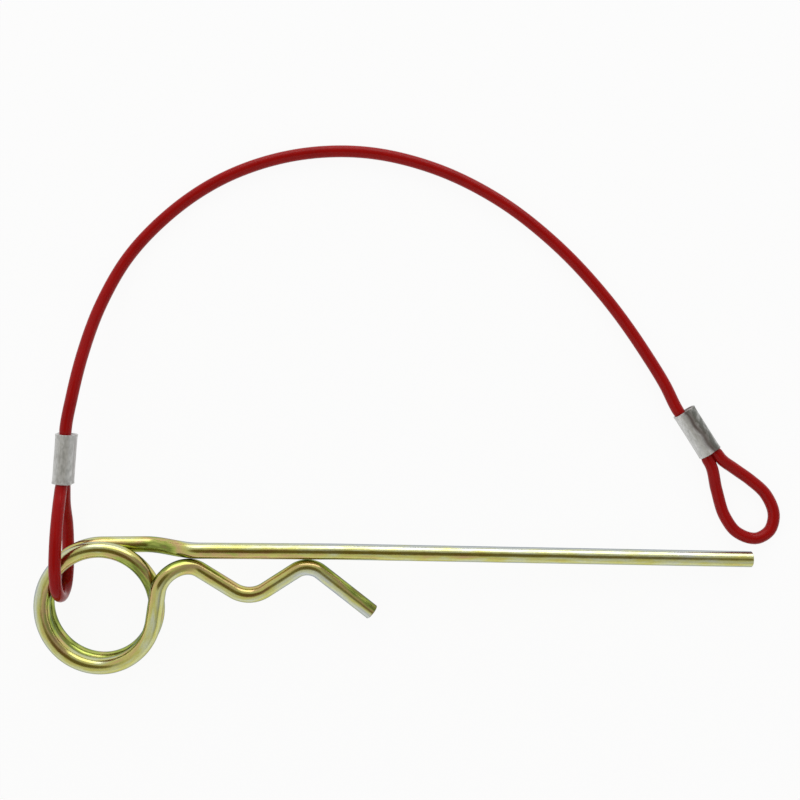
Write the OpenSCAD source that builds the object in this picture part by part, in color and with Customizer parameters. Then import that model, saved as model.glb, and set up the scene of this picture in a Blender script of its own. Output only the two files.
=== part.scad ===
// Spring cotter with a tether: one bent spring wire whose coil carries the loop of a coated wire rope.
// The clip lies on a flat surface, long leg along +X, with the rope's loop under one side of its coil.

/* [Wire] */
// Diameter of the spring wire
wire_d = 4; // [2.5:0.1:6]
// Chamfer left where the long leg is cropped
crop_chamfer = 0.3; // [0.1:0.05:0.8]

/* [Coil] */
// Half width of the coil, to the middle of the wire
coil_r = 14; // [11:0.1:24]
// Extra half height that makes the coil an upright oval
coil_tall = 0.9; // [0:0.1:2]
// Angle below the middle of the coil at which the wire leaves it for the waved leg
leave_angle = 10; // [4:0.5:20]
// Gap between one turn of the coil and the next
turn_gap = 0.1; // [0.05:0.05:0.6]

/* [Long leg] */
// Reach of the long leg, from the middle of the coil to its tip
leg_reach = 164.3; // [110:0.1:260]
// Straight run from the coil to the bend that brings the leg level
lead_from = 11; // [6:0.5:16]
// Length of the bend that brings the leg level
lead_len = 13.5; // [9:0.5:20]
// Distance that the leg lies below the top of the coil
lead_drop = 0.3; // [0:0.05:1]
// Angle at which the free end is set over, towards the waved leg
free_set = 0.7; // [0.4:0.1:2]
// Distance past the second hump at which the free end starts
free_past = 7; // [4:0.5:15]

/* [Waved leg] */
// Radius of the first hump, to the middle of the wire
first_r = 6.4; // [4.5:0.1:8]
// Radius of the valley, to the middle of the wire
valley_r = 7.2; // [4.5:0.1:8]
// Radius of the second hump, to the middle of the wire
second_r = 5.3; // [4.5:0.1:7]
// Distance along the leg from the first hump to the valley
fall_run = 15.7; // [14:0.1:24]
// Distance along the leg from the valley to the second hump
rise_run = 14.6; // [13:0.1:24]
// Depth of the valley below the humps
valley_drop = 7.3; // [5:0.1:12]
// Gap between the humps and the long leg
grip_gap = 0.15; // [0.1:0.05:1]
// Angle at which the tail spreads from the long leg
tail_angle = 39; // [20:0.5:50]
// Length of the straight tail
tail_len = 17; // [8:0.1:30]
// Part of the first hump that is turned before the wire comes down from the coil
down_from = 8; // [4:1:20]

/* [Rope] */
// Diameter of the coated rope
rope_d = 3; // [2:0.1:4]
// Diameter of the rope where a ferrule squeezes it
pressed_d = 2; // [1.4:0.1:2.4]
// Length over which the rope swells to its full diameter
swell_len = 1; // [0.6:0.1:2]
// Length past the eye's ferrule over which its two strands stay together
pair_len = 2.4; // [2.2:0.1:4]
// Room left between the rope and the coil above it
loop_play = 0.5; // [0.3:0.1:1.5]

/* [Ferrules] */
// Length of a pressed ferrule
ferrule_len = 12.4; // [8:0.1:20]
// Metal outside each of the two strands, at the sides
side_wall = 0.65; // [0.4:0.05:2]
// Metal over and under the strands
face_wall = 1.45; // [1:0.05:3]
// Radius of the ferrule's long edges
ferrule_edge = 2.2; // [0.5:0.1:2.4]
// Depth of the crease between the lobes
crease_depth = 0.4; // [0.2:0.05:0.8]
// Width of the crease between the lobes
crease_w = 1; // [0.4:0.1:2]
// Metal left between the two strands
web = 0.2; // [0.15:0.05:0.6]
// Clearance of a strand in its hole
strand_clearance = 0.1; // [0.06:0.02:0.2]
// Distance that a cut strand stops short of the ferrule's far mouth
cut_short = 0.6; // [0.2:0.1:3]

/* [Hidden] */

wire_sides = 20;
rope_sides = 8;
coil_step = 12;
bend_step = 12;
lead_steps = 8;
ring_step = 2 * rope_d;
lap = 1;
lap_step = 0.02;
cut_past = 1;

// The clip in its own frame: middle of the coil at the origin, legs in the plane z = 0
pitch = wire_d + turn_gap;
rise = pitch / (2 * PI * coil_r);
coil_h = coil_r + coil_tall;
leg_y = coil_h - lead_drop;
hump_top = leg_y - wire_d - grip_gap;

// The wire leaves the coil along its tangent, as far as the first hump
leave = [coil_r * cos(leave_angle), -coil_h * sin(leave_angle)];
heading_neck = atan2(coil_h * cos(leave_angle), coil_r * sin(leave_angle));
neck_run = (hump_top - first_r - leave.y + first_r * cos(heading_neck)) / sin(heading_neck);
hump_1 = [leave.x + neck_run * cos(heading_neck) + first_r * sin(heading_neck), hump_top - first_r];
valley = [hump_1.x + fall_run, hump_top - valley_drop + valley_r];
hump_2 = [valley.x + rise_run, hump_top - second_r];
free_from = hump_2.x + free_past;

// Heading of the line that crosses from one bend to the next, which turns the other way
function crossing(a, a_r, b, b_r, turn) =
    let (d = b - a)
    atan2(d.y, d.x) + turn * asin((a_r + b_r) / norm(d));

heading_fall = crossing(hump_1, first_r, valley, valley_r, -1);
heading_rise = crossing(valley, valley_r, hump_2, second_r, 1);
heading_tail = -tail_angle;

coil_start = 90;
coil_end = 720 - leave_angle;
coil_low = -pitch * (coil_end - coil_start) / 720;
lead_low = coil_low - rise * lead_from;
neck_high = rise * neck_run - coil_low;

function ease(t) =
    let (u = min(max(t, 0), 1))
    u * u * (3 - 2 * u);

function coil_point(turned) = [
    coil_r * cos(turned),
    coil_h * sin(turned),
    coil_low + pitch * (turned - coil_start) / 360
];

// Points of a flat bend, from one heading to another, with turn +1 for anticlockwise
function bend(centre, r, from, to, turn) =
    let (steps = ceil(abs(to - from) / bend_step))
    [for (i = [0:steps])
        let (heading = from + (to - from) * i / steps)
        [centre.x + turn * r * sin(heading), centre.y - turn * r * cos(heading), 0]];

// Height of the wire as it comes down over the first hump
function hump_height(turned) =
    let (whole = heading_neck - heading_fall)
    neck_high * (1 - ease((turned - down_from) / (whole - down_from)));

lead_points = [for (i = [0:lead_steps])
    let (t = i / lead_steps)
    [lead_from + lead_len * (1 - t), leg_y + lead_drop * ease(t), lead_low * ease(t)]];

coil_count = ceil((coil_end - coil_start) / coil_step);
coil_points = [for (i = [0:coil_count]) coil_point(coil_start + (coil_end - coil_start) * i / coil_count)];

hump_1_flat = bend(hump_1, first_r, heading_neck, heading_fall, -1);
hump_1_points = [for (i = [0:len(hump_1_flat) - 1])
    let (turned = (heading_neck - heading_fall) * i / (len(hump_1_flat) - 1))
    hump_1_flat[i] + [0, 0, hump_height(turned)]];

valley_points = bend(valley, valley_r, heading_fall, heading_rise, 1);
hump_2_points = bend(hump_2, second_r, heading_rise, heading_tail, -1);
tail_start = hump_2_points[len(hump_2_points) - 1];
tail_end = tail_start + tail_len * [cos(heading_tail), sin(heading_tail), 0];

bent_points = concat(
    [[free_from + lap, leg_y, 0]],
    lead_points,
    coil_points,
    hump_1_points,
    valley_points,
    hump_2_points,
    [tail_end]
);
bent_d = [for (i = [0:len(bent_points) - 1]) wire_d - (i == 0 ? 2 * lap_step : 0)];

free_len = leg_reach - free_from;
leg_tip = [free_from + free_len * cos(free_set), leg_y - free_len * sin(free_set), 0];

// The clip at rest: the rope lifts one side of the coil, the other side and the leg's tip touch down
loop_angle = 130;
touch_angle = 283;
lifted = coil_point(loop_angle);
touching = coil_point(touch_angle);

// Slopes of the plane of the legs, from the heights of those three points
lift_a = rope_d + loop_play + wire_d / 2 - lifted.z - (wire_d / 2 - leg_tip.z);
lift_b = wire_d / 2 - touching.z - (wire_d / 2 - leg_tip.z);
from_tip_a = [lifted.x - leg_tip.x, lifted.y - leg_tip.y];
from_tip_b = [touching.x - leg_tip.x, touching.y - leg_tip.y];
spread = from_tip_a.x * from_tip_b.y - from_tip_b.x * from_tip_a.y;
slope_x = (lift_a * from_tip_b.y - lift_b * from_tip_a.y) / spread;
slope_y = (from_tip_a.x * lift_b - from_tip_b.x * lift_a) / spread;
rest_pitch = -atan(slope_x);
rest_roll = atan(slope_y * cos(rest_pitch));

function laid(p) =
    let (y = p.y * cos(rest_roll) - p.z * sin(rest_roll))
    let (z = p.y * sin(rest_roll) + p.z * cos(rest_roll))
    [p.x * cos(rest_pitch) + z * sin(rest_pitch), y, z * cos(rest_pitch) - p.x * sin(rest_pitch)];

laid_points = [for (p = concat([leg_tip], bent_points)) laid(p)];
laid_x = [for (p = laid_points) p.x];
laid_y = [for (p = laid_points) p.y];
laid_z = [for (p = laid_points) p.z];
rest_offset = [
    (min(laid_x) - wire_d / 2 + laid(leg_tip).x) / 2,
    (min(laid_y) + max(laid_y)) / 2,
    min(laid_z) - wire_d / 2
];

// A ferrule's section, from the strands that it holds
strand_hole = pressed_d + strand_clearance;
lobe = (strand_hole + web) / 2;
ferrule_w = 2 * (lobe + strand_hole / 2 + side_wall);
ferrule_t = strand_hole + 2 * face_wall;
ferrule_round = min(ferrule_edge, ferrule_t / 2, ferrule_w / 2);

// A ferrule's place: its middle, its heading, its upward slope and the turn of its lobes about its length
clip_ferrule_at = [[-82.6, 36.8, 8.8], 85, 5, 90];
eye_ferrule_at = [[75.8, 45.1, ferrule_t / 2], -57, 0, 0];

function along(f) = [cos(f[2]) * cos(f[1]), cos(f[2]) * sin(f[1]), sin(f[2])];
function across(f) =
    cos(f[3]) * [-sin(f[1]), cos(f[1]), 0]
    + sin(f[3]) * [-sin(f[2]) * cos(f[1]), -sin(f[2]) * sin(f[1]), cos(f[2])];

parted = rope_d / 2 + web / 2;
mouth = ferrule_len / 2;

// A strand's point at a distance along a ferrule and across it, with its diameter
function strand(f, reach, offset, d) = [f[0] + reach * along(f) + offset * across(f), d];
function in_mouth(f, end, side) = strand(f, end * mouth, side * lobe, pressed_d);
function alone(f, end, side) = strand(f, end * (mouth + swell_len), side * lobe, rope_d);
function beside(f, end, side) = strand(f, end * (mouth + swell_len), side * parted, rope_d);
function paired(f, end, side) = strand(f, end * (mouth + pair_len), side * parted, rope_d);
function cut_end(f, end, side) = strand(f, end * (mouth - cut_short), side * lobe, pressed_d);

// The rope's free stretches: round the coil, over the surface to the far end, and round the eye
loop_route = [
    [-83.5, 25, 4.5], [-83.5, 20, 2.3], [-83.5, 15, 1.5], [-83.5, 9, 1.5],
    [-83.5, 4.4, 3.3], [-83.4, 2.5, 7.7], [-83.3, 4.4, 12.1], [-83.3, 9, 14],
    [-83.3, 15, 14], [-83.3, 20, 13], [-83.2, 25, 11.5]
];
arch_route = [
    [-80.5, 52, 10.8], [-78.5, 63, 8.6], [-75, 76, 4.6], [-69, 88, 2], [-60, 98, 1.5],
    [-46, 107.9, 1.5], [-28, 114.2, 1.5], [-9.5, 115.3, 1.5], [8.5, 111.4, 1.5], [25, 103.5, 1.5],
    [39.5, 92.5, 1.5], [52, 79.5, 1.5], [63, 64.6, 1.5], [67.8, 56.9, 1.7]
];
eye_route = [
    [81.2, 30.5, 1.6], [83.6, 23.4, 1.5], [86.3, 19.9, 1.5], [91.9, 18.3, 1.5], [94.9, 20.3, 1.5],
    [95.9, 23.6, 1.5], [93.8, 29.4, 1.5], [89.9, 33, 1.5], [85.7, 35.9, 1.6]
];

function full(route) = [for (p = route) [p, rope_d]];

rope_route = concat(
    [cut_end(clip_ferrule_at, 1, -1), in_mouth(clip_ferrule_at, -1, -1), beside(clip_ferrule_at, -1, -1)],
    full(loop_route),
    [beside(clip_ferrule_at, -1, 1), in_mouth(clip_ferrule_at, -1, 1)],
    [in_mouth(clip_ferrule_at, 1, 1), alone(clip_ferrule_at, 1, 1)],
    full(arch_route),
    [alone(eye_ferrule_at, -1, -1), in_mouth(eye_ferrule_at, -1, -1)],
    [in_mouth(eye_ferrule_at, 1, -1), beside(eye_ferrule_at, 1, -1), paired(eye_ferrule_at, 1, -1)],
    full(eye_route),
    [paired(eye_ferrule_at, 1, 1), beside(eye_ferrule_at, 1, 1)],
    [in_mouth(eye_ferrule_at, 1, 1), cut_end(eye_ferrule_at, -1, 1)]
);

// Direction of a route at one of its points, weighted by the lengths on either side
function route_slope(r, i) =
    i == 0 ? (r[1][0] - r[0][0]) / norm(r[1][0] - r[0][0])
    : i == len(r) - 1 ? (r[i][0] - r[i - 1][0]) / norm(r[i][0] - r[i - 1][0])
    : let (back = r[i][0] - r[i - 1][0], ahead = r[i + 1][0] - r[i][0])
      let (b = norm(back), a = norm(ahead))
      (ahead * b / a + back * a / b) / (a + b);

// Point at a share t of the way along one stretch of a smooth route
function route_point(r, i, t) =
    let (h = norm(r[i + 1][0] - r[i][0]))
    (2 * t * t * t - 3 * t * t + 1) * r[i][0]
    + (t * t * t - 2 * t * t + t) * h * route_slope(r, i)
    + (3 * t * t - 2 * t * t * t) * r[i + 1][0]
    + (t * t * t - t * t) * h * route_slope(r, i + 1);

function rings_in(r, i) = max(1, round(norm(r[i + 1][0] - r[i][0]) / ring_step));

rope_rings = concat(
    [for (i = [0:len(rope_route) - 2])
        for (k = [0:rings_in(rope_route, i) - 1])
            let (t = k / rings_in(rope_route, i))
            [route_point(rope_route, i, t), rope_route[i][1] * (1 - t) + rope_route[i + 1][1] * t]],
    [rope_route[len(rope_route) - 1]]
);

// A round section carried along a line of points without twisting
function unit(v) = v / norm(v);
function heading_at(p, i) = unit(p[min(i + 1, len(p) - 1)] - p[max(i - 1, 0)]);
function carried(side, heading) = unit(side - (side * heading) * heading);
function ring_sides(p, side, i = 0) =
    i == len(p) ? []
    : let (here = carried(side, heading_at(p, i)))
      concat([here], ring_sides(p, here, i + 1));

module swept(points, diameters, sides, first_side) {
    count = len(points);
    side = ring_sides(points, first_side);
    corners = [for (i = [0:count - 1])
        let (up = cross(heading_at(points, i), side[i]))
        for (k = [0:sides - 1])
            let (a = 360 * (k + 0.5) / sides)
            points[i] + diameters[i] / 2 * (cos(a) * side[i] + sin(a) * up)];
    walls = [for (i = [0:count - 2])
        for (k = [0:sides - 1])
            let (a = i * sides + k, b = i * sides + (k + 1) % sides)
            each [[a, a + sides, b], [b, a + sides, b + sides]]];
    start_cap = [for (k = [0:sides - 1]) k];
    end_cap = [for (k = [0:sides - 1]) count * sides - 1 - k];
    polyhedron(corners, concat([start_cap], walls, [end_cap]));
}

// Free end of the long leg, cropped square with its edge eased
module free_end() {
    translate([free_from, leg_y, 0])
        rotate([0, 0, -free_set])
            rotate([0, 90, 0])
                rotate_extrude($fn = 64)
                    polygon([
                        [0, 0],
                        [wire_d / 2, 0],
                        [wire_d / 2, free_len - crop_chamfer],
                        [wire_d / 2 - crop_chamfer, free_len],
                        [0, free_len]
                    ]);
}

// The clip is one length of wire: free end, coil of one and three quarter turns, then the waved leg
module spring_clip() {
    color([0.72, 0.66, 0.34])
        translate(-rest_offset)
            rotate([rest_roll, rest_pitch, 0])
                union() {
                    free_end();
                    swept(bent_points, bent_d, wire_sides, [0, 0, 1]);
                }
}

module lanyard() {
    color([0.55, 0.06, 0.08])
        swept([for (r = rope_rings) r[0]], [for (r = rope_rings) r[1]], rope_sides, [1, 0, 0]);
}

// Section of a pressed sleeve: rounded, creased between its lobes, with a hole for each strand
module ferrule_section() {
    difference() {
        hull()
            for (x = [-1, 1], y = [-1, 1])
                translate([x * (ferrule_w / 2 - ferrule_round), y * (ferrule_t / 2 - ferrule_round)])
                    circle(ferrule_round, $fn = 48);
        for (y = [-1, 1])
            translate([0, y * ferrule_t / 2])
                polygon([
                    [-crease_w / 2, y * cut_past],
                    [crease_w / 2, y * cut_past],
                    [crease_w / 2, 0],
                    [0, -y * crease_depth],
                    [-crease_w / 2, 0]
                ]);
        for (x = [-1, 1])
            translate([x * lobe, 0])
                circle(d = strand_hole, $fn = 48);
    }
}

module ferrule(f) {
    color([0.68, 0.68, 0.67])
        translate(f[0])
            rotate([0, -f[2], f[1]])
                rotate([f[3], 0, 0])
                    rotate([90, 0, 90])
                        linear_extrude(ferrule_len, center = true)
                            ferrule_section();
}

module clip_ferrule() {
    ferrule(clip_ferrule_at);
}

module eye_ferrule() {
    ferrule(eye_ferrule_at);
}

spring_clip();
lanyard();
clip_ferrule();
eye_ferrule();
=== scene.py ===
import math

import bpy
from mathutils import Matrix, Vector


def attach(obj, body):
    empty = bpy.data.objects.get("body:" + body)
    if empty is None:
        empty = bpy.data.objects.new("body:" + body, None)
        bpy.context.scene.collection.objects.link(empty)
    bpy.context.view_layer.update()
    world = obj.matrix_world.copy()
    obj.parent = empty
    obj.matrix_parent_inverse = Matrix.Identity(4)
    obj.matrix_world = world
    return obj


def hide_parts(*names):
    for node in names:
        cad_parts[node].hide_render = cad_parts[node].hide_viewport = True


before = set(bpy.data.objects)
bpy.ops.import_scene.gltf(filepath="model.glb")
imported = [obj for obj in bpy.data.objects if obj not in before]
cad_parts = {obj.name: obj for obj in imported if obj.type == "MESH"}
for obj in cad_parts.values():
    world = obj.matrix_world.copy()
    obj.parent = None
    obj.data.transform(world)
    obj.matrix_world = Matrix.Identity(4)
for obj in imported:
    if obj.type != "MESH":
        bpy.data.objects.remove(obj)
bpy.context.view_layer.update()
MM = 0.001
scene = bpy.context.scene


# View. The clip lies on a white surface and the photo looks straight down on it
# through a normal lens, turned a little against the long leg.
view_width = 204.8 * MM
view_centre = (0.375 * MM, 52.35 * MM)
view_turn = 0.69
lens = 50.0
sensor = 36.0

camera = bpy.data.objects.new("camera", bpy.data.cameras.new("camera"))
camera.data.lens = lens
camera.data.sensor_width = sensor
camera.location = (*view_centre, view_width * lens / sensor)
camera.rotation_euler.z = math.radians(view_turn)
scene.collection.objects.link(camera)
scene.camera = camera


# Spring clip. One length of 4 mm spring wire, cropped at both ends, bent round a mandrel
# into a coil and then into a waved leg, and dipped in a yellow zinc passivate.
# Sizes are in millimetres and degrees, as in the part's own source.
wire_d = 4.0
crop_chamfer = 0.1
coil_r = 14.0
coil_tall = 0.9
leave_angle = 10.0
turn_gap = 0.1
leg_reach = 164.3
lead_from = 11.0
lead_len = 13.5
lead_drop = 0.3
free_set = 0.7
free_past = 7.0
first_r = 6.4
valley_r = 7.2
second_r = 5.3
fall_run = 15.7
rise_run = 14.6
valley_drop = 7.3
grip_gap = 0.15
first_lift = 0.25
tail_angle = 39.0
tail_len = 16.8
down_from = 8.0
bend_step = 3.0
lead_steps = 20
wire_sides = 40

# The rope that passes under the coil and tilts the clip as it lies.
rope_d = 3.0
loop_play = 0.5
loop_angle = 130.0
touch_angle = 283.0


class Link:
    """An output of a node in a tree. Sums on links add Math nodes to that tree."""

    def __init__(self, tree, socket=None):
        self.tree = tree
        self.socket = socket

    def node(self, kind, settings=(), inputs=(), output=0):
        """Adds a node: its settings first, then the values or links of its sockets."""
        node = self.tree.nodes.new(kind)
        for name, value in dict(settings).items():
            if name == "stops":
                while len(node.color_ramp.elements) < len(value):
                    node.color_ramp.elements.new(0.5)
                for element, (place, colour) in zip(node.color_ramp.elements, value):
                    element.position = place
                    element.color = (*colour, 1)
            else:
                setattr(node, name, value)
        for name, value in dict(inputs).items():
            if isinstance(value, Link):
                self.tree.links.new(value.socket, node.inputs[name])
            else:
                node.inputs[name].default_value = value
        return Link(self.tree, node.outputs[output] if node.outputs else None)

    def math(self, operation, *values):
        return self.node("ShaderNodeMath", {"operation": operation}, enumerate(values))

    def __add__(self, other):
        return self.math("ADD", self, other)

    def __sub__(self, other):
        return self.math("SUBTRACT", self, other)

    def __mul__(self, other):
        return self.math("MULTIPLY", self, other)

    def __truediv__(self, other):
        return self.math("DIVIDE", self, other)

    def __rsub__(self, other):
        return self.math("SUBTRACT", other, self)

    __radd__ = __add__
    __rmul__ = __mul__


def finish(name):
    """A new material, and a start for its nodes."""
    material = bpy.data.materials.new(name)
    material.use_nodes = True
    material.node_tree.nodes.clear()
    return material, Link(material.node_tree)


def mixed(share, plain, tinted):
    """A colour between two others."""
    plain, tinted = (c if isinstance(c, Link) else (*c, 1) for c in (plain, tinted))
    return share.node(
        "ShaderNodeMix",
        {"data_type": "RGBA"},
        {0: share, 6: plain, 7: tinted},
        output=2,
    )


def surface(start, inputs):
    """Ends a material in one principled shader with these inputs."""
    shader = start.node("ShaderNodeBsdfPrincipled", inputs=inputs)
    start.node("ShaderNodeOutputMaterial", inputs={"Surface": shader})


def drawn_section():
    """Geometry nodes that draw a round section along a path and keep, at every point,
    where it was while the wire or rope was still straight."""
    tree = bpy.data.node_groups.new("drawn_section", "GeometryNodeTree")
    for name, kind in (
        ("Path", "NodeSocketGeometry"),
        ("Diameter", "NodeSocketFloat"),
        ("Sides", "NodeSocketInt"),
        ("Finish", "NodeSocketMaterial"),
    ):
        tree.interface.new_socket(name, in_out="INPUT", socket_type=kind)
    tree.interface.new_socket("Piece", in_out="OUTPUT", socket_type="NodeSocketGeometry")
    start = Link(tree)

    def given(name):
        return start.node("NodeGroupInput", output=name)

    def kept(geometry, kind, name, value):
        return start.node(
            "GeometryNodeStoreNamedAttribute",
            {"data_type": kind, "domain": "POINT"},
            {"Geometry": geometry, "Name": name, "Value": value},
        )

    def recalled(kind, name):
        return start.node("GeometryNodeInputNamedAttribute", {"data_type": kind}, {"Name": name})

    length = start.node("GeometryNodeSplineParameter", output="Length")
    path = kept(given("Path"), "FLOAT", "along", length)
    section = start.node(
        "GeometryNodeCurvePrimitiveCircle",
        {"mode": "RADIUS"},
        {"Resolution": given("Sides"), "Radius": given("Diameter") * 0.5},
    )
    section = kept(section, "FLOAT_VECTOR", "across", start.node("GeometryNodeInputPosition"))
    tube = start.node(
        "GeometryNodeCurveToMesh",
        inputs={
            "Curve": path,
            "Profile Curve": section,
            "Scale": start.node("GeometryNodeInputRadius"),
            "Fill Caps": True,
        },
    )
    across = recalled("FLOAT_VECTOR", "across")
    parts = [start.node("ShaderNodeSeparateXYZ", inputs={0: across}, output=k) for k in (0, 1)]
    straight = start.node(
        "ShaderNodeCombineXYZ", inputs={0: parts[0], 1: parts[1], 2: recalled("FLOAT", "along")}
    )
    tube = kept(tube, "FLOAT_VECTOR", "straight", straight)
    tube = start.node("GeometryNodeRealizeInstances", inputs={"Geometry": tube})
    tube = start.node(
        "GeometryNodeSetMaterial", inputs={"Geometry": tube, "Material": given("Finish")}
    )
    start.node("NodeGroupOutput", inputs={"Piece": tube})
    return tree


section_tree = drawn_section()
sharp_angle = math.radians(30)


def drawn(name, points, radii, diameter, sides, material):
    """A piece of wire or rope along a line of points, its radius a share of the full one."""
    line = bpy.data.curves.new(name + "_path", "CURVE")
    line.dimensions = "3D"
    spline = line.splines.new("POLY")
    spline.points.add(len(points) - 1)
    for point, place, radius in zip(spline.points, points, radii):
        point.co = (*place, 1)
        point.radius = radius
    path = bpy.data.objects.new(name + "_path", line)
    scene.collection.objects.link(path)
    modifier = path.modifiers.new("section", "NODES")
    modifier.node_group = section_tree
    values = {"Diameter": diameter, "Sides": sides, "Finish": material}
    for item in section_tree.interface.items_tree:
        if item.name in values:
            modifier[item.identifier] = values[item.name]
    depsgraph = bpy.context.evaluated_depsgraph_get()
    mesh = bpy.data.meshes.new_from_object(path.evaluated_get(depsgraph), depsgraph=depsgraph)
    path.modifiers.remove(modifier)
    bpy.data.objects.remove(path)
    mesh.shade_smooth()
    mesh.set_sharp_from_angle(angle=sharp_angle)
    piece = bpy.data.objects.new(name, mesh)
    scene.collection.objects.link(piece)
    return piece


def polar(angle):
    return Vector((math.cos(math.radians(angle)), math.sin(math.radians(angle))))


def ease(t):
    u = min(max(t, 0), 1)
    return u * u * (3 - 2 * u)


def crossing(a, a_r, b, b_r, turn):
    """Heading of the line that crosses from one bend to the next, which turns the other way."""
    d = b - a
    lean = math.degrees(math.asin((a_r + b_r) / d.length))
    return math.degrees(math.atan2(d.y, d.x)) + turn * lean


def bend(centre, r, start, end, turn):
    """Points of a bend between two headings, to the left where turn is 1."""
    steps = math.ceil(abs(end - start) / bend_step)
    headings = [start + (end - start) * i / steps for i in range(steps + 1)]
    return [(centre - turn * r * polar(h + 90)).to_3d() for h in headings]


pitch = wire_d + turn_gap
rise = pitch / (2 * math.pi * coil_r)
coil_h = coil_r + coil_tall
leg_y = coil_h - lead_drop
hump_top = leg_y - wire_d - grip_gap


def coil_flat(turned):
    return Vector((coil_r * polar(turned).x, coil_h * polar(turned).y))


leave = coil_flat(-leave_angle)
leave_turn = polar(leave_angle)
heading_neck = math.degrees(math.atan2(coil_h * leave_turn.x, coil_r * leave_turn.y))
neck_line = polar(heading_neck)
first_top = hump_top + first_lift
neck_run = (first_top - first_r - leave.y + first_r * neck_line.x) / neck_line.y
hump_1 = leave + neck_run * neck_line + first_r * polar(heading_neck - 90)
valley = Vector((hump_1.x + fall_run, hump_top - valley_drop + valley_r))
hump_2 = Vector((valley.x + rise_run, hump_top - second_r))
free_from = hump_2.x + free_past

heading_fall = crossing(hump_1, first_r, valley, valley_r, -1)
heading_rise = crossing(valley, valley_r, hump_2, second_r, 1)

coil_start = 90.0
coil_end = 720 - leave_angle
coil_low = -pitch * (coil_end - coil_start) / 720
lead_low = coil_low - rise * lead_from
neck_high = rise * neck_run - coil_low


def coil_point(turned):
    return Vector((*coil_flat(turned), coil_low + pitch * (turned - coil_start) / 360))


free_len = leg_reach - free_from
free_line = Vector((*polar(-free_set), 0))
free_start = Vector((free_from, leg_y, 0))
leg_tip = free_start + free_len * free_line

lead_shares = [i / lead_steps for i in range(lead_steps + 1)]
lead_points = [
    Vector((lead_from + lead_len * (1 - t), leg_y + lead_drop * ease(t), lead_low * ease(t)))
    for t in lead_shares
]
coil_count = math.ceil((coil_end - coil_start) / bend_step)
coil_points = [
    coil_point(coil_start + (coil_end - coil_start) * i / coil_count)
    for i in range(coil_count + 1)
]
hump_1_points = bend(hump_1, first_r, heading_neck, heading_fall, -1)
hump_1_turn = heading_neck - heading_fall
for i, point in enumerate(hump_1_points):
    turned = hump_1_turn * i / (len(hump_1_points) - 1)
    point.z = neck_high * (1 - ease((turned - down_from) / (hump_1_turn - down_from)))
valley_points = bend(valley, valley_r, heading_fall, heading_rise, 1)
hump_2_points = bend(hump_2, second_r, heading_rise, -tail_angle, -1)
tail_line = Vector((*polar(-tail_angle), 0))
tail_end = hump_2_points[-1] + tail_len * tail_line

bent_points = [
    leg_tip,
    leg_tip - crop_chamfer * free_line,
    free_start,
    *lead_points,
    *coil_points,
    *hump_1_points,
    *valley_points,
    *hump_2_points,
    tail_end - crop_chamfer * tail_line,
    tail_end,
]

# The rope under one side lifts the coil; its other side and the leg's tip touch the surface.
lifted = coil_point(loop_angle)
touching = coil_point(touch_angle)
from_tip_a = lifted - leg_tip
from_tip_b = touching - leg_tip
lift_a = rope_d + loop_play - from_tip_a.z
lift_b = -from_tip_b.z
spread = from_tip_a.x * from_tip_b.y - from_tip_b.x * from_tip_a.y
slope_x = (lift_a * from_tip_b.y - lift_b * from_tip_a.y) / spread
slope_y = (from_tip_a.x * lift_b - from_tip_b.x * lift_a) / spread
rest_pitch = -math.atan(slope_x)
rest_roll = math.atan(slope_y * math.cos(rest_pitch))
rest_turn = Matrix.Rotation(rest_pitch, 3, "Y") @ Matrix.Rotation(rest_roll, 3, "X")

laid = [rest_turn @ p for p in bent_points]
low = Vector([min(p[k] for p in laid) for k in range(3)])
high = Vector([max(p[k] for p in laid) for k in range(3)])
rest_offset = Vector((
    (low.x - wire_d / 2 + laid[0].x) / 2,
    (low.y + high.y) / 2,
    low.z - wire_d / 2,
))
wire_line = [(p - rest_offset) * MM for p in laid]
cropped = 1 - 2 * crop_chamfer / wire_d
wire_radii = [cropped, *[1] * (len(wire_line) - 2), cropped]

# The passivate film shows silver where it is thin, then gold, copper and green as it thickens.
film_colours = (
    (0.20, (0.54, 0.57, 0.53)),
    (0.36, (0.60, 0.62, 0.36)),
    (0.52, (0.58, 0.56, 0.16)),
    (0.66, (0.60, 0.42, 0.20)),
    (0.78, (0.42, 0.49, 0.11)),
    (0.90, (0.20, 0.25, 0.05)),
    (1.00, (0.28, 0.20, 0.08)),
)
# Its thickness on the outside, the middle and the inside of the bends, along the wire from the
# leg's tip: it drained off the outside, and ran together inside the bends and at the joggle. The
# thicker, darker film at the joggle, on the inner sides of the coil and on the first hump's
# shoulder under the leg is also painted shade, where the wire lies in shade or out of the lamp.
film_and_shade_along = (
    (0, 0.16, 0.44, 0.36),
    (75, 0.16, 0.45, 0.30),
    (108, 0.18, 0.53, 0.45),
    (132, 0.26, 0.65, 0.60),
    (142, 0.30, 0.62, 0.70),
    (147, 0.74, 0.88, 0.86),
    (152, 0.74, 0.88, 0.86),
    (157, 0.34, 0.74, 0.80),
    (186, 0.50, 0.84, 0.90),
    (210, 0.50, 0.74, 0.72),
    (232, 0.50, 0.84, 0.90),
    (246, 0.46, 0.86, 0.82),
    (255, 0.32, 0.50, 0.42),
    (276, 0.26, 0.60, 0.84),
    (285, 0.24, 0.62, 0.92),
    (294, 0.30, 0.50, 0.36),
    (306, 0.42, 0.50, 0.38),
    (317, 0.46, 0.50, 1.00),
    (326, 0.48, 0.44, 1.00),
    (336, 0.44, 0.70, 1.00),
    (346, 0.40, 0.67, 0.76),
    (354, 0.34, 0.56, 0.42),
    (361, 0.40, 0.66, 0.84),
    (369, 0.30, 0.66, 0.96),
    (377, 0.22, 0.68, 0.92),
    (391, 0.22, 0.90, 0.80),
)
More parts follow.
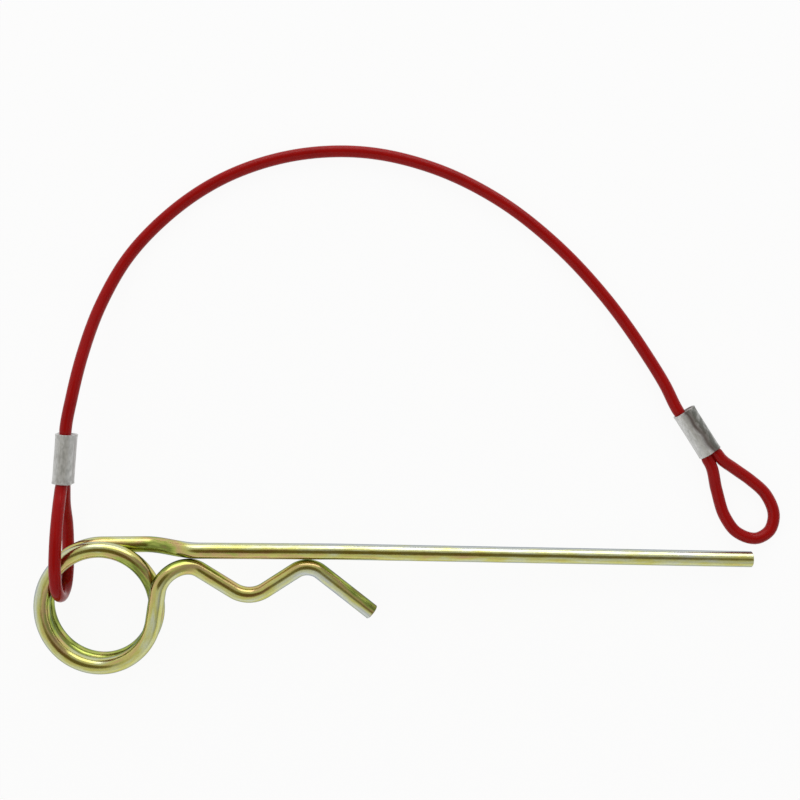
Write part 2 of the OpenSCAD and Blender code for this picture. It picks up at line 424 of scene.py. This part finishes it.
# Noise that breaks the film up: its scale across and along the wire, and its detail.
film_noise = ((300.0, 300.0, 70.0), 3.0)
patch_noise = ((1100.0, 1100.0, 210.0), 4.0)
streak_noise = ((2600.0, 2600.0, 60.0), 3.0)
dapple_noise = ((900.0, 900.0, 420.0), 2.0)
speck_noise = ((2200.0, 2200.0, 2200.0), 2.0)
noise_mean = 0.5
film_range = 0.5
patch_range = 0.62
shade_least = 0.74
shade_specks = 0.28
shade_streaks = 0.24
edge_tint = (0.40, 0.44, 0.58, 1.0)
bare_steel = (0.22, 0.14, 0.08)
wire_roughness = 0.13
streak_roughness = 0.14
streak_relief = 0.15
wire_bump = 0.08 * MM
wire_bump_strength = 0.32

wire_length = sum((b - a).length for a, b in zip(wire_line, wire_line[1:]))

plated, start = finish("plated_wire")
straight = start.node("ShaderNodeAttribute", {"attribute_name": "straight"}, output="Vector")


def noise(straight, scale, detail):
    """Noise on the piece as it was while straight, with its own scale across and along it."""
    place = straight.node(
        "ShaderNodeVectorMath", {"operation": "MULTIPLY"}, {0: straight, 1: scale}
    )
    return straight.node(
        "ShaderNodeTexNoise", inputs={"Vector": place, "Scale": 1.0, "Detail": detail}
    )


along = start.node("ShaderNodeSeparateXYZ", inputs={0: straight}, output="Z") / wire_length
aside = start.node("ShaderNodeSeparateXYZ", inputs={0: straight}, output="X") / (wire_d / 2 * MM)
# Film thickness along the wire, which in places also carries painted shade.
thickness_and_shade = start.node(
    "ShaderNodeValToRGB",
    {"stops": [(place * MM / wire_length, sides) for place, *sides in film_and_shade_along]},
    {"Fac": along},
)
outside, middle, inside = (
    start.node("ShaderNodeSeparateColor", inputs={0: thickness_and_shade}, output=k) for k in range(3)
)
# One smooth curve over the section, through the thicknesses on its two sides and in its middle.
film_and_shade_across = middle * (1 - aside * aside) + 0.5 * aside * (
    outside * (aside + 1) + inside * (aside - 1)
)
film = noise(straight, *film_noise) - noise_mean
patches = noise(straight, *patch_noise) - noise_mean
streaks = noise(straight, *streak_noise)
dapples = noise(straight, *dapple_noise)
specks = noise(straight, *speck_noise)
tint = start.node(
    "ShaderNodeValToRGB",
    {"stops": film_colours},
    {"Fac": film_and_shade_across + film_range * film + patch_range * patches},
)
cropped_end = along.math("GREATER_THAN", along, 1 - crop_chamfer * MM / wire_length)
shade = shade_least + shade_specks * specks + shade_streaks * streaks
tint = start.node("ShaderNodeVectorMath", {"operation": "SCALE"}, {0: tint, "Scale": shade})
surface(
    start,
    {
        "Base Color": mixed(cropped_end, tint, bare_steel),
        "Metallic": 1.0,
        "Specular Tint": edge_tint,
        "Roughness": wire_roughness + streak_roughness * streaks,
        "Normal": start.node(
            "ShaderNodeBump",
            inputs={
                "Strength": wire_bump_strength,
                "Distance": wire_bump,
                "Height": dapples + streak_relief * streaks,
            },
        ),
    },
)

clip = drawn("spring_clip_wire", wire_line, wire_radii, wire_d * MM, wire_sides, plated)
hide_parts("spring_clip")
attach(clip, "clip")


# Lanyard. Steel wire rope in a smooth red vinyl coat, threaded through the coil and doubled
# back at both ends; each doubled end is squeezed thin where its ferrule is pressed on.
pressed_d = 2.0
mouth_d = 2.8
swell_len = 1.0
pair_len = 2.4
parted = 1.4
neck_near = -1.45
neck_far = 1.5
web = 0.2
strand_clearance = 0.1
cut_short = 0.3
ferrule_len = 12.4
face_wall = 1.45
side_wall = 0.65
rope_sides = 28
rope_step = 0.8

strand_hole = pressed_d + strand_clearance
lobe = (strand_hole + web) / 2
mouth = ferrule_len / 2
ferrule_w = 2 * (lobe + strand_hole / 2 + side_wall)
ferrule_t = strand_hole + 2 * face_wall


def seated(middle, heading, slope, lobe_turn):
    """Places a ferrule: its length runs along its own X, its lobes lie side by side along Y."""
    turn = Matrix.Identity(4)
    for angle, axis in ((heading, "Z"), (-slope, "Y"), (lobe_turn, "X")):
        turn = turn @ Matrix.Rotation(math.radians(angle), 4, axis)
    return Matrix.Translation(middle) @ turn


clip_ferrule_at = seated(middle=(-82.6, 36.8, 8.8), heading=85, slope=5, lobe_turn=90)
eye_ferrule_at = seated(middle=(75.8, 45.1, ferrule_t / 2), heading=-57, slope=0, lobe_turn=0)

loop_route = [
    (-83.75, 25, 4.5), (-83.75, 20, 2.3), (-83.7, 15, 1.5), (-83.65, 9, 1.5),
    (-83.55, 4.4, 3.3), (-83.35, 2.5, 7.7), (-83.2, 4.4, 12.1), (-83.15, 9, 14),
    (-83.15, 15, 14), (-83.2, 20, 13), (-83.2, 25, 11.5),
]
arch_route = [
    (-80.5, 52, 10.8), (-78.5, 63, 8.6), (-75, 76, 4.6), (-69, 88, 2),
    (-60, 98, 1.5), (-46, 107.9, 1.5), (-28, 114.2, 1.5), (-9.5, 115.3, 1.5),
    (8.5, 111.4, 1.5), (25, 103.5, 1.5), (39.5, 92.5, 1.5), (52, 79.5, 1.5),
    (63, 64.6, 1.5), (67.8, 56.9, 1.7),
]
eye_route = [
    (81.2, 30.5, 1.6), (83.6, 23.4, 1.5), (86.3, 19.9, 1.5), (91.9, 18.3, 1.5),
    (94.9, 20.3, 1.5), (95.9, 23.6, 1.5), (93.8, 29.4, 1.5), (89.9, 33, 1.5),
    (85.7, 35.9, 1.6),
]


def strand(ferrule, reach, offset, d):
    """A point of the rope's route, given in a ferrule's own frame, and the diameter there."""
    return ferrule @ Vector((reach, offset, 0)), d


def in_mouth(ferrule, end, side):
    return strand(ferrule, end * mouth, side * lobe, mouth_d)


def squeezed(ferrule, end, side):
    return strand(ferrule, end * (mouth - swell_len), side * lobe, pressed_d)


def cut_end(ferrule, end, side):
    return strand(ferrule, end * (mouth - cut_short), side * lobe, pressed_d)


def alone(ferrule, end, side):
    return strand(ferrule, end * (mouth + swell_len), side * lobe, rope_d)


def beside(ferrule, end, side):
    return strand(ferrule, end * (mouth + swell_len), side * parted, rope_d)


def paired(ferrule, end, offset):
    return strand(ferrule, end * (mouth + pair_len), offset, rope_d)


def full(route):
    """Points of the route where the rope has its full diameter."""
    return [(Vector(p), rope_d) for p in route]


rope_route = [
    cut_end(clip_ferrule_at, 1, -1),
    squeezed(clip_ferrule_at, -1, -1),
    in_mouth(clip_ferrule_at, -1, -1),
    beside(clip_ferrule_at, -1, -1),
    *full(loop_route),
    beside(clip_ferrule_at, -1, 1),
    in_mouth(clip_ferrule_at, -1, 1),
    squeezed(clip_ferrule_at, -1, 1),
    squeezed(clip_ferrule_at, 1, 1),
    in_mouth(clip_ferrule_at, 1, 1),
    alone(clip_ferrule_at, 1, 1),
    *full(arch_route),
    alone(eye_ferrule_at, -1, -1),
    in_mouth(eye_ferrule_at, -1, -1),
    squeezed(eye_ferrule_at, -1, -1),
    squeezed(eye_ferrule_at, 1, -1),
    in_mouth(eye_ferrule_at, 1, -1),
    beside(eye_ferrule_at, 1, -1),
    paired(eye_ferrule_at, 1, neck_near),
    *full(eye_route),
    paired(eye_ferrule_at, 1, neck_far),
    beside(eye_ferrule_at, 1, 1),
    in_mouth(eye_ferrule_at, 1, 1),
    squeezed(eye_ferrule_at, 1, 1),
    cut_end(eye_ferrule_at, -1, 1),
]


def route_slope(i):
    """Direction of the route at one of its points, weighted by the lengths on either side."""
    places = [p for p, d in rope_route]
    if i in (0, len(places) - 1):
        step = places[max(i, 1)] - places[max(i, 1) - 1]
        return step.normalized()
    back = places[i] - places[i - 1]
    ahead = places[i + 1] - places[i]
    a, b = ahead.length, back.length
    return (ahead * b / a + back * a / b) / (a + b)


rope_line, rope_radii = [], []
for i in range(len(rope_route) - 1):
    (p, p_d), (q, q_d) = rope_route[i], rope_route[i + 1]
    h = (q - p).length
    count = max(1, round(h / rope_step))
    last = i == len(rope_route) - 2
    for k in range(count + last):
        t = k / count
        point = (
            (2 * t**3 - 3 * t**2 + 1) * p
            + (t**3 - 2 * t**2 + t) * h * route_slope(i)
            + (3 * t**2 - 2 * t**3) * q
            + (t**3 - t**2) * h * route_slope(i + 1)
        )
        point.z = max(point.z, rope_d / 2)
        rope_line.append(point * MM)
        rope_radii.append((p_d * (1 - t) + q_d * t) / rope_d)

vinyl_red = (0.42, 0.0075, 0.007)
vinyl_deep = (0.30, 0.004, 0.0045)
vinyl_shine = 0.14
vinyl_roughness = 0.15
mottle_noise = ((220.0, 220.0, 220.0), 3.0)
mottle_roughness = 0.1
vinyl_bump = 0.05 * MM
vinyl_bump_strength = 0.2

vinyl, start = finish("coated_rope")
straight = start.node("ShaderNodeAttribute", {"attribute_name": "straight"}, output="Vector")
mottle = noise(straight, *mottle_noise)
surface(
    start,
    {
        "Base Color": mixed(mottle, vinyl_red, vinyl_deep),
        "Specular IOR Level": vinyl_shine,
        "Roughness": vinyl_roughness + mottle_roughness * mottle,
        "Normal": start.node(
            "ShaderNodeBump",
            inputs={"Strength": vinyl_bump_strength, "Distance": vinyl_bump, "Height": mottle},
        ),
    },
)
rope = drawn("lanyard_rope", rope_line, rope_radii, rope_d * MM, rope_sides, vinyl)
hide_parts("lanyard")
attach(rope, "tether")


# Ferrules. A short soft aluminium sleeve slipped over both strands and squeezed in a press,
# which creases it between the strands and leaves its mouths blunt.
mouth_round = 0.12
mouth_steps = 4
mouth_flare = 0.12
flare_power = 12
section_power = 2.7
section_points = 144
station_step = 0.3
bore_r = 1.2
bore_depth = 0.1
crease_depth = 0.4
crease_w = 0.8
crease_sway = 2.2
sway_rate = 1.1
sway_start = 0.4
crease_least = 0.3
shade_edge = 0.8
back_shade = 0.4

ferrule_grey = (0.72, 0.72, 0.71)
# This dull grey is both the darker tone of the dents and painted shade on the lobe beyond the
# crease and on the back.
ferrule_shade_and_dent = (0.23, 0.235, 0.215)
# The darkest grey is painted shade for the crease and the bores.
ferrule_crease_shade = (0.15, 0.12, 0.11)
scuff_noise = ((900.0, 900.0, 130.0), 5.0)
smear_noise = ((420.0, 420.0, 260.0), 3.0)
dent_noise = ((1100.0, 1100.0, 650.0), 4.0)
dent_stops = ((0.36, (0, 0, 0)), (0.64, (1, 1, 1)))
lobe_shade_least = 0.2
lobe_shade_smears = 0.8
lobe_shade_dents = 0.6
dull_dents = 0.28
dark_least = 0.6
dark_scuffs = 0.6
ferrule_metallic = 0.7
ferrule_roughness = 0.40
scuff_roughness = 0.22
smear_relief = 0.8
dent_relief = 0.3
ferrule_bump = 0.25 * MM
ferrule_bump_strength = 0.8

pressed, start = finish("pressed_aluminium")
straight = start.node("ShaderNodeAttribute", {"attribute_name": "straight"}, output="Vector")
crease = start.node("ShaderNodeAttribute", {"attribute_name": "crease"}, output="Fac")
worn = start.node("ShaderNodeAttribute", {"attribute_name": "worn"}, output="Fac")
scuffs = noise(straight, *scuff_noise)
smears = noise(straight, *smear_noise)
dents = start.node(
    "ShaderNodeValToRGB", {"stops": dent_stops}, {"Fac": noise(straight, *dent_noise)}
)
# Painted shade on the lobe beyond the crease and on the back, broken up by smears and dents, plus
# the dents' own darker tone.
shade_and_dent_share = worn * (lobe_shade_least + lobe_shade_smears * smears + lobe_shade_dents * dents) + dull_dents * dents
# Painted shade in the crease and the bores, broken up by scuffs.
crease_shade_share = crease * (dark_least + dark_scuffs * scuffs)
shaded_and_dented = mixed(shade_and_dent_share, ferrule_grey, ferrule_shade_and_dent)
surface(
    start,
    {
        "Base Color": mixed(crease_shade_share, shaded_and_dented, ferrule_crease_shade),
        "Metallic": ferrule_metallic,
        "Roughness": ferrule_roughness + scuff_roughness * scuffs,
        "Normal": start.node(
            "ShaderNodeBump",
            inputs={
                "Strength": ferrule_bump_strength,
                "Distance": ferrule_bump,
                "Height": scuffs + smear_relief * smears - dent_relief * dents,
            },
        ),
    },
)


def ferrule(name, node, place, crease_at, crease_lean, shade_amount):
    """One pressed sleeve: rings from one bore, over the outside, to the other bore.
    A ring is its place along the sleeve and its inset at a mouth, or no inset in a bore."""
    end_rings = [(mouth - bore_depth, None), (mouth, None)]
    for k in range(mouth_steps + 1):
        a = math.radians(90 - 90 * k / mouth_steps)
        back, inset = mouth_round * (1 - math.sin(a)), mouth_round * (1 - math.cos(a))
        end_rings.append((mouth - back, inset))
    barrel = 2 * (mouth - mouth_round)
    count = round(barrel / station_step)
    rings = [(-s, inset) for s, inset in end_rings]
    rings += [(barrel * (k / count - 0.5), 0.0) for k in range(1, count)]
    rings += reversed(end_rings)

    verts, straights, crease_shades, lobe_shades = [], [], [], []
    for s, inset in rings:
        for k in range(section_points):
            a = 2 * math.pi * k / section_points
            c, n = math.cos(a), math.sin(a)
            if inset is None:
                r = lobe * abs(c) + math.sqrt(bore_r**2 - (lobe * n) ** 2)
                x, y = r * c, r * n
                # The bore is fully in painted shade.
                mark, shaded = 1.0, 0.0
            else:
                flare = mouth_flare * abs(s / mouth) ** flare_power - inset
                across = abs(c) / (ferrule_w / 2 + flare)
                thick = abs(n) / (ferrule_t / 2 + flare)
                r = (across**section_power + thick**section_power) ** (-1 / section_power)
                x, y = r * c, r * n
                sway = crease_sway * math.sin(sway_rate * s + sway_start)
                from_crease = x - crease_at - crease_lean * (s + sway)
                # The crease gets painted shade, by the sleeve's amount of shading.
                mark = math.exp(-((from_crease / crease_w) ** 2))
                # The lobe beyond the crease on top, and the whole back, get painted shade.
                shaded = shade_amount * (ease(from_crease / shade_edge) if y > 0 else back_shade)
                y -= math.copysign(crease_depth * mark, y)
            verts.append((place @ Vector((s, x, y))) * MM)
            straights.append(Vector((x, y, s)) * MM)
            crease_shades.append(mark * min(crease_least + shade_amount, 1))
            lobe_shades.append(shaded)

    faces = []
    for i in range(len(rings) - 1):
        for k in range(section_points):
            a = i * section_points + k
            b = i * section_points + (k + 1) % section_points
            faces.append((a, b, b + section_points, a + section_points))
    faces.append(tuple(reversed(range(section_points))))
    faces.append(tuple(range((len(rings) - 1) * section_points, len(rings) * section_points)))

    mesh = bpy.data.meshes.new(name)
    mesh.from_pydata(verts, [], faces)
    mesh.attributes.new("straight", "FLOAT_VECTOR", "POINT").data.foreach_set(
        "vector", [v for p in straights for v in p]
    )
    for attribute, values in (("crease", crease_shades), ("worn", lobe_shades)):
        mesh.attributes.new(attribute, "FLOAT", "POINT").data.foreach_set("value", values)
    mesh.materials.append(pressed)
    mesh.shade_smooth()
    mesh.set_sharp_from_angle(angle=sharp_angle)
    piece = bpy.data.objects.new(name, mesh)
    scene.collection.objects.link(piece)
    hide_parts(node)
    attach(piece, "tether")
    return piece


clip_sleeve = ferrule(
    "clip_sleeve", "clip_ferrule", clip_ferrule_at, crease_at=0.1, crease_lean=0.02, shade_amount=0.2
)
eye_sleeve = ferrule(
    "eye_sleeve", "eye_ferrule", eye_ferrule_at, crease_at=0.3, crease_lean=0.08, shade_amount=0.8
)

rope_length = sum((b - a).length for a, b in zip(rope_line, rope_line[1:]))


# Surface and light. A white table in a pale room, its edge curved up all round as in a photo
# cove, with a wide soft lamp beyond the top of the picture and a dim ceiling, which shows as
# the dark line along the wire.
cove_sides = 96
cove_steps = 12
cove_from = 2.2
cove_r = 0.8
table_white = (0.9, 0.9, 0.9, 1)
pure_white = (1, 1, 1, 1)
white_share = 0.93
lamp_size = (1.0, 0.6)
lamp_power = 3.2
lamp_at = Vector((0.08, 0.85, 0.32))
lamp_aim = Vector((0, 0.03, 0))
room_stops = (
    (0.0, (0.85, 0.85, 0.85)),
    (0.86, (0.72, 0.72, 0.70)),
    (0.93, (0.16, 0.125, 0.05)),
    (1.0, (0.14, 0.105, 0.035)),
)
dim_from = 0.2
dim_to = 0.8
dim_least = 0.4
scene.view_settings.view_transform = "Standard"

cove_profile = [(cove_from, 0.0)]
for k in range(1, cove_steps + 1):
    climb = polar(90 * k / cove_steps)
    cove_profile.append((cove_from + cove_r * climb.y, cove_r * (1 - climb.x)))
cove_verts = [
    (*(r * polar(360 * k / cove_sides)), z) for r, z in cove_profile for k in range(cove_sides)
]
cove_faces = [tuple(range(cove_sides))]
for ring in range(cove_steps):
    for k in range(cove_sides):
        a = ring * cove_sides + k
        b = ring * cove_sides + (k + 1) % cove_sides
        cove_faces.append((a, a + cove_sides, b + cove_sides, b))
table_mesh = bpy.data.meshes.new("table")
table_mesh.from_pydata(cove_verts, [], cove_faces)
table_mesh.shade_smooth()
table = bpy.data.objects.new("table", table_mesh)
scene.collection.objects.link(table)
white, start = finish("white_table")
seen = start.node("ShaderNodeLightPath", output="Is Camera Ray")
for ray in ("Is Glossy Ray", "Is Transmission Ray"):
    seen = seen.math("MAXIMUM", seen, start.node("ShaderNodeLightPath", output=ray))
start.node(
    "ShaderNodeOutputMaterial",
    inputs={
        "Surface": start.node(
            "ShaderNodeMixShader",
            inputs={
                0: seen * white_share,
                1: start.node("ShaderNodeBsdfDiffuse", inputs={"Color": table_white}),
                2: start.node("ShaderNodeEmission", inputs={"Color": pure_white, "Strength": 1.0}),
            },
        )
    },
)
table_mesh.materials.append(white)

lamp_data = bpy.data.lights.new("top_lamp", "AREA")
lamp_data.shape = "RECTANGLE"
lamp_data.size, lamp_data.size_y = lamp_size
lamp_data.energy = lamp_power
lamp = bpy.data.objects.new("top_lamp", lamp_data)
lamp.location = lamp_at
lamp.rotation_euler = (lamp_aim - lamp_at).to_track_quat("-Z", "Y").to_euler()
scene.collection.objects.link(lamp)

world = bpy.data.worlds.new("room")
world.use_nodes = True
world.node_tree.nodes.clear()
scene.world = world
start = Link(world.node_tree)
outward = start.node("ShaderNodeTexCoord", output="Generated")
up = start.node("ShaderNodeSeparateXYZ", inputs={0: outward}, output="Z")
right = start.node("ShaderNodeSeparateXYZ", inputs={0: outward}, output="X")
room = start.node("ShaderNodeValToRGB", {"stops": room_stops}, {"Fac": up})
dimmer = start.node(
    "ShaderNodeMapRange",
    inputs={
        "Value": right,
        "From Min": dim_from,
        "From Max": dim_to,
        "To Min": 1.0,
        "To Max": dim_least,
    },
)
room = start.node("ShaderNodeVectorMath", {"operation": "SCALE"}, {0: room, "Scale": dimmer})
start.node(
    "ShaderNodeOutputWorld",
    inputs={
        "Surface": start.node("ShaderNodeBackground", inputs={"Color": room, "Strength": 1.0})
    },
)
